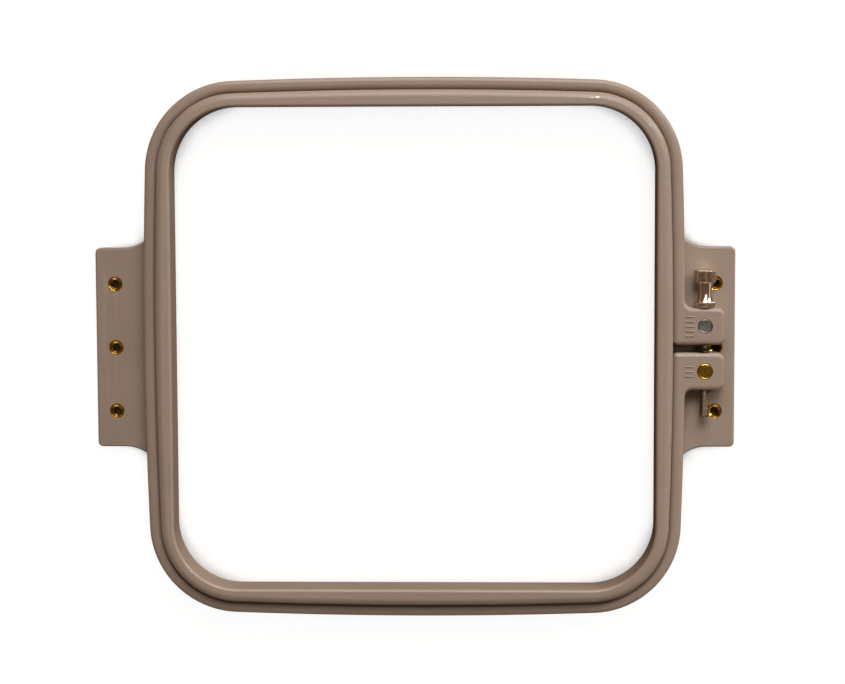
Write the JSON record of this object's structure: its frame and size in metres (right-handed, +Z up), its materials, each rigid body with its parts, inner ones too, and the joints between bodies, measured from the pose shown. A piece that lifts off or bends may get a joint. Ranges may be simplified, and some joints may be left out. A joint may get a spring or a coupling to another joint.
{
  "type": "tubular embroidery hoop",
  "caption": "Square plastic embroidery hoop: plain inner ring with threaded mounting ears and a split outer ring drawn together by a knurled thumbscrew.",
  "frame": {"origin": "middle of the opening, on the plane of the inner ring's lower rim", "axes": "+X across the hoop towards the clamp, +Y along the clamp screw towards the knob, +Z up to the cloth side"},
  "size_m": [0.2536, 0.2134, 0.0162],
  "materials": {
    "taupe_inner": "moulded, semi-gloss",
    "taupe_outer": "moulded, semi-gloss",
    "insert_brass": "turned",
    "turned_brass": "turned face",
    "nickel_screw": "nickel plated, rolled thread",
    "nickel_knob": "nickel plated, knurled",
    "dull_grey_pin": "dull, sheared face",
    "black_clip": "black oxide"
  },
  "bodies": {
    "inner_frame": {"inner_ring": "taupe_inner", "insert_left_top": "insert_brass", "insert_left_middle": "insert_brass", "insert_left_bottom": "insert_brass", "insert_right_top": "insert_brass", "insert_right_middle": "insert_brass", "insert_right_bottom": "insert_brass"},
    "outer_upper": {"outer_ring_upper": "taupe_outer"},
    "outer_lower": {"outer_ring_lower": "taupe_outer"},
    "swivel": {"swivel_pin": "dull_grey_pin"},
    "screw": {"clamp_screw": "nickel_screw", "thumb_knob": "nickel_knob", "retaining_clip": "black_clip"},
    "nut": {"barrel_nut": "turned_brass"}
  },
  "joints": [
    {"name": "outer_lift", "type": "slide", "parent": "inner_frame", "child": "outer_upper", "axis": [0, 0, 1], "range_m": [0, 0.025]},
    {"name": "swivel_turn", "type": "hinge", "parent": "outer_upper", "child": "swivel", "pos_m": [0.1145, 0.0089, 0.0089], "axis": [0, 0, 1], "range_deg": [0, 1.75]},
    {"name": "screw_turn", "type": "hinge", "parent": "swivel", "child": "screw", "pos_m": [0.1145, 0.0089, 0.0089], "axis": [0, 1, 0], "range_deg": [0, 720]},
    {"name": "ring_open", "type": "hinge", "parent": "outer_upper", "child": "outer_lower", "pos_m": [-0.09508, -0.09508, 0.0089], "axis": [0, 0, -1], "range_deg": [0, 0.39]},
    {"name": "nut_turn", "type": "hinge", "parent": "outer_lower", "child": "nut", "pos_m": [0.1145, -0.0089, 0.0089], "axis": [0, 0, 1], "range_deg": [0, 2.13]}
  ],
  "couplings": [
    {"joint": "ring_open", "follows": "screw_turn", "ratio": 0.00053158},
    {"joint": "swivel_turn", "follows": "screw_turn", "ratio": 0.0024187},
    {"joint": "nut_turn", "follows": "screw_turn", "ratio": 0.0029503}
  ]
}
